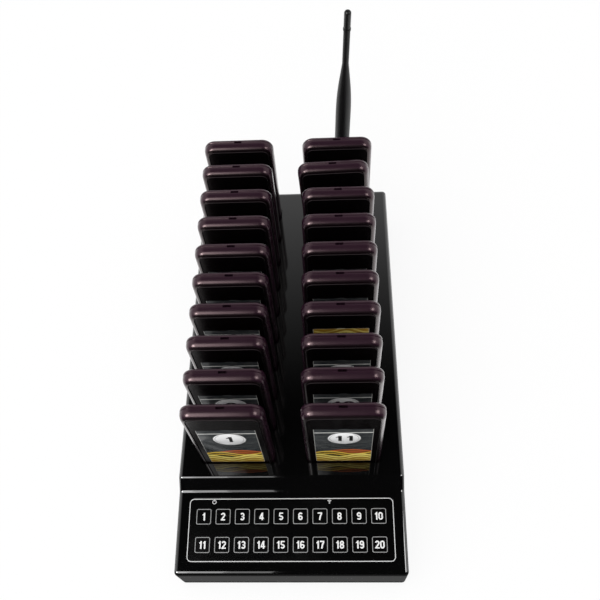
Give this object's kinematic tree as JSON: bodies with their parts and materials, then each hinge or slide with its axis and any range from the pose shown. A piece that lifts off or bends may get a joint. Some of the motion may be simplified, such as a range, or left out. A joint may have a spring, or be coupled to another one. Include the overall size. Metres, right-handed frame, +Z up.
{
  "type": "guest pager system",
  "caption": "Counter-top paging base with a sloping keypad, two rows of handheld pagers standing in slots in its deck, and a hinged whip antenna at the back.",
  "frame": {"origin": "centre of the whole object's footprint, on the surface that its feet stand on", "axes": "+X to the right seen from the keypad side, +Y from the keypad to the antenna, +Z up"},
  "size_m": [0.16, 0.3392, 0.2204],
  "materials": {
    "case_black": "polished piano black",
    "tray_grey": "fine moulded grain",
    "foot_rubber": "soft matt rubber",
    "overlay_black": "printed gloss film",
    "board_green": "solder mask",
    "switch_black": "moulded",
    "contact_gold": "plated contacts",
    "radio_can": "tinned can",
    "inlet_black": "moulded",
    "connector_metal": "plated",
    "screw_steel": "blackened steel",
    "rocker_black": "satin moulded",
    "antenna_plastic": "satin moulded",
    "antenna_rubber": "satin over-moulded rubber",
    "pager_aubergine": "satin, dark aubergine",
    "key_black": "gloss pad with a printed outline"
  },
  "bodies": {
    "base": {"upper_case": "case_black", "bottom_tray": "tray_grey", "rubber_feet": "foot_rubber", "keypad_overlay": "overlay_black", "keypad_board": "board_green", "key_switches": "switch_black", "charging_board": "board_green", "charging_pins": "contact_gold", "main_board": "board_green", "board_components": "radio_can", "power_inlet": "inlet_black", "rocker_housing": "inlet_black", "antenna_socket": "connector_metal", "coupling_nut": "connector_metal", "screws": "screw_steel"},
    "elbow": {"antenna_elbow": "antenna_plastic", "elbow_pin": "screw_steel"},
    "whip": {"antenna_whip": "antenna_rubber", "antenna_cap": "antenna_plastic"},
    "rocker": {"power_rocker": "rocker_black"},
    "pager_01": {"pager_01": "pager_aubergine"},
    "pager_02": {"pager_02": "pager_aubergine"},
    "pager_03": {"pager_03": "pager_aubergine"},
    "pager_04": {"pager_04": "pager_aubergine"},
    "pager_05": {"pager_05": "pager_aubergine"},
    "pager_06": {"pager_06": "pager_aubergine"},
    "pager_07": {"pager_07": "pager_aubergine"},
    "pager_08": {"pager_08": "pager_aubergine"},
    "pager_09": {"pager_09": "pager_aubergine"},
    "pager_10": {"pager_10": "pager_aubergine"},
    "pager_11": {"pager_11": "pager_aubergine"},
    "pager_12": {"pager_12": "pager_aubergine"},
    "pager_13": {"pager_13": "pager_aubergine"},
    "pager_14": {"pager_14": "pager_aubergine"},
    "pager_15": {"pager_15": "pager_aubergine"},
    "pager_16": {"pager_16": "pager_aubergine"},
    "pager_17": {"pager_17": "pager_aubergine"},
    "pager_18": {"pager_18": "pager_aubergine"},
    "pager_19": {"pager_19": "pager_aubergine"},
    "pager_20": {"pager_20": "pager_aubergine"},
    "key_01": {"key_01": "key_black"},
    "key_02": {"key_02": "key_black"},
    "key_03": {"key_03": "key_black"},
    "key_04": {"key_04": "key_black"},
    "key_05": {"key_05": "key_black"},
    "key_06": {"key_06": "key_black"},
    "key_07": {"key_07": "key_black"},
    "key_08": {"key_08": "key_black"},
    "key_09": {"key_09": "key_black"},
    "key_10": {"key_10": "key_black"},
    "key_11": {"key_11": "key_black"},
    "key_12": {"key_12": "key_black"},
    "key_13": {"key_13": "key_black"},
    "key_14": {"key_14": "key_black"},
    "key_15": {"key_15": "key_black"},
    "key_16": {"key_16": "key_black"},
    "key_17": {"key_17": "key_black"},
    "key_18": {"key_18": "key_black"},
    "key_19": {"key_19": "key_black"},
    "key_20": {"key_20": "key_black"}
  },
  "joints": [
    {"name": "pager_01_lift", "type": "slide", "parent": "base", "child": "pager_01", "axis": [0, 0, 1], "range_m": [0, 0.105]},
    {"name": "pager_02_lift", "type": "slide", "parent": "base", "child": "pager_02", "axis": [0, 0, 1], "range_m": [0, 0.105]},
    {"name": "pager_03_lift", "type": "slide", "parent": "base", "child": "pager_03", "axis": [0, 0, 1], "range_m": [0, 0.105]},
    {"name": "pager_04_lift", "type": "slide", "parent": "base", "child": "pager_04", "axis": [0, 0, 1], "range_m": [0, 0.105]},
    {"name": "pager_05_lift", "type": "slide", "parent": "base", "child": "pager_05", "axis": [0, 0, 1], "range_m": [0, 0.105]},
    {"name": "pager_06_lift", "type": "slide", "parent": "base", "child": "pager_06", "axis": [0, 0, 1], "range_m": [0, 0.105]},
    {"name": "pager_07_lift", "type": "slide", "parent": "base", "child": "pager_07", "axis": [0, 0, 1], "range_m": [0, 0.105]},
    {"name": "pager_08_lift", "type": "slide", "parent": "base", "child": "pager_08", "axis": [0, 0, 1], "range_m": [0, 0.105]},
    {"name": "pager_09_lift", "type": "slide", "parent": "base", "child": "pager_09", "axis": [0, 0, 1], "range_m": [0, 0.105]},
    {"name": "pager_10_lift", "type": "slide", "parent": "base", "child": "pager_10", "axis": [0, 0, 1], "range_m": [0, 0.105]},
    {"name": "pager_11_lift", "type": "slide", "parent": "base", "child": "pager_11", "axis": [0, 0, 1], "range_m": [0, 0.105]},
    {"name": "pager_12_lift", "type": "slide", "parent": "base", "child": "pager_12", "axis": [0, 0, 1], "range_m": [0, 0.105]},
    {"name": "pager_13_lift", "type": "slide", "parent": "base", "child": "pager_13", "axis": [0, 0, 1], "range_m": [0, 0.105]},
    {"name": "pager_14_lift", "type": "slide", "parent": "base", "child": "pager_14", "axis": [0, 0, 1], "range_m": [0, 0.105]},
    {"name": "pager_15_lift", "type": "slide", "parent": "base", "child": "pager_15", "axis": [0, 0, 1], "range_m": [0, 0.105]},
    {"name": "pager_16_lift", "type": "slide", "parent": "base", "child": "pager_16", "axis": [0, 0, 1], "range_m": [0, 0.105]},
    {"name": "pager_17_lift", "type": "slide", "parent": "base", "child": "pager_17", "axis": [0, 0, 1], "range_m": [0, 0.105]},
    {"name": "pager_18_lift", "type": "slide", "parent": "base", "child": "pager_18", "axis": [0, 0, 1], "range_m": [0, 0.105]},
    {"name": "pager_19_lift", "type": "slide", "parent": "base", "child": "pager_19", "axis": [-0.0366, 0, 0.9993], "range_m": [0, 0.105]},
    {"name": "pager_20_lift", "type": "slide", "parent": "base", "child": "pager_20", "axis": [0, 0, 1], "range_m": [0, 0.105]},
    {"name": "antenna_swivel", "type": "hinge", "parent": "base", "child": "elbow", "pos_m": [0.04, 0.1636, 0.026], "axis": [0, 1, 0], "range_deg": [-91.9, 88.1]},
    {"name": "antenna_fold", "type": "hinge", "parent": "elbow", "child": "whip", "pos_m": [0.04, 0.1636, 0.026], "axis": [-0.9995, 0, 0.0332], "range_deg": [0, 90]},
    {"name": "power_rocker_tip", "type": "hinge", "parent": "base", "child": "rocker", "pos_m": [-0.005, 0.1466, 0.02], "axis": [0, 0, 1], "range_deg": [0, 20]},
    {"name": "key_01_press", "type": "slide", "parent": "base", "child": "key_01", "axis": [0, 0.1045, -0.9945], "range_m": [0, 0.0004], "stiffness_N_per_m": 400},
    {"name": "key_02_press", "type": "slide", "parent": "base", "child": "key_02", "axis": [0, 0.1045, -0.9945], "range_m": [0, 0.0004], "stiffness_N_per_m": 400},
    {"name": "key_03_press", "type": "slide", "parent": "base", "child": "key_03", "axis": [0, 0.1045, -0.9945], "range_m": [0, 0.0004], "stiffness_N_per_m": 400},
    {"name": "key_04_press", "type": "slide", "parent": "base", "child": "key_04", "axis": [0, 0.1045, -0.9945], "range_m": [0, 0.0004], "stiffness_N_per_m": 400},
    {"name": "key_05_press", "type": "slide", "parent": "base", "child": "key_05", "axis": [0, 0.1045, -0.9945], "range_m": [0, 0.0004], "stiffness_N_per_m": 400},
    {"name": "key_06_press", "type": "slide", "parent": "base", "child": "key_06", "axis": [0, 0.1045, -0.9945], "range_m": [0, 0.0004], "stiffness_N_per_m": 400},
    {"name": "key_07_press", "type": "slide", "parent": "base", "child": "key_07", "axis": [0, 0.1045, -0.9945], "range_m": [0, 0.0004], "stiffness_N_per_m": 400},
    {"name": "key_08_press", "type": "slide", "parent": "base", "child": "key_08", "axis": [0, 0.1045, -0.9945], "range_m": [0, 0.0004], "stiffness_N_per_m": 400},
    {"name": "key_09_press", "type": "slide", "parent": "base", "child": "key_09", "axis": [0, 0.1045, -0.9945], "range_m": [0, 0.0004], "stiffness_N_per_m": 400},
    {"name": "key_10_press", "type": "slide", "parent": "base", "child": "key_10", "axis": [0, 0.1045, -0.9945], "range_m": [0, 0.0004], "stiffness_N_per_m": 400},
    {"name": "key_11_press", "type": "slide", "parent": "base", "child": "key_11", "axis": [0, 0.1045, -0.9945], "range_m": [0, 0.0004], "stiffness_N_per_m": 400},
    {"name": "key_12_press", "type": "slide", "parent": "base", "child": "key_12", "axis": [0, 0.1045, -0.9945], "range_m": [0, 0.0004], "stiffness_N_per_m": 400},
    {"name": "key_13_press", "type": "slide", "parent": "base", "child": "key_13", "axis": [0, 0.1045, -0.9945], "range_m": [0, 0.0004], "stiffness_N_per_m": 400},
    {"name": "key_14_press", "type": "slide", "parent": "base", "child": "key_14", "axis": [0, 0.1045, -0.9945], "range_m": [0, 0.0004], "stiffness_N_per_m": 400},
    {"name": "key_15_press", "type": "slide", "parent": "base", "child": "key_15", "axis": [0, 0.1045, -0.9945], "range_m": [0, 0.0004], "stiffness_N_per_m": 400},
    {"name": "key_16_press", "type": "slide", "parent": "base", "child": "key_16", "axis": [0, 0.1045, -0.9945], "range_m": [0, 0.0004], "stiffness_N_per_m": 400},
    {"name": "key_17_press", "type": "slide", "parent": "base", "child": "key_17", "axis": [0, 0.1045, -0.9945], "range_m": [0, 0.0004], "stiffness_N_per_m": 400},
    {"name": "key_18_press", "type": "slide", "parent": "base", "child": "key_18", "axis": [0, 0.1045, -0.9945], "range_m": [0, 0.0004], "stiffness_N_per_m": 400},
    {"name": "key_19_press", "type": "slide", "parent": "base", "child": "key_19", "axis": [0, 0.1045, -0.9945], "range_m": [0, 0.0004], "stiffness_N_per_m": 400},
    {"name": "key_20_press", "type": "slide", "parent": "base", "child": "key_20", "axis": [0, 0.1045, -0.9945], "range_m": [0, 0.0004], "stiffness_N_per_m": 400}
  ]
}
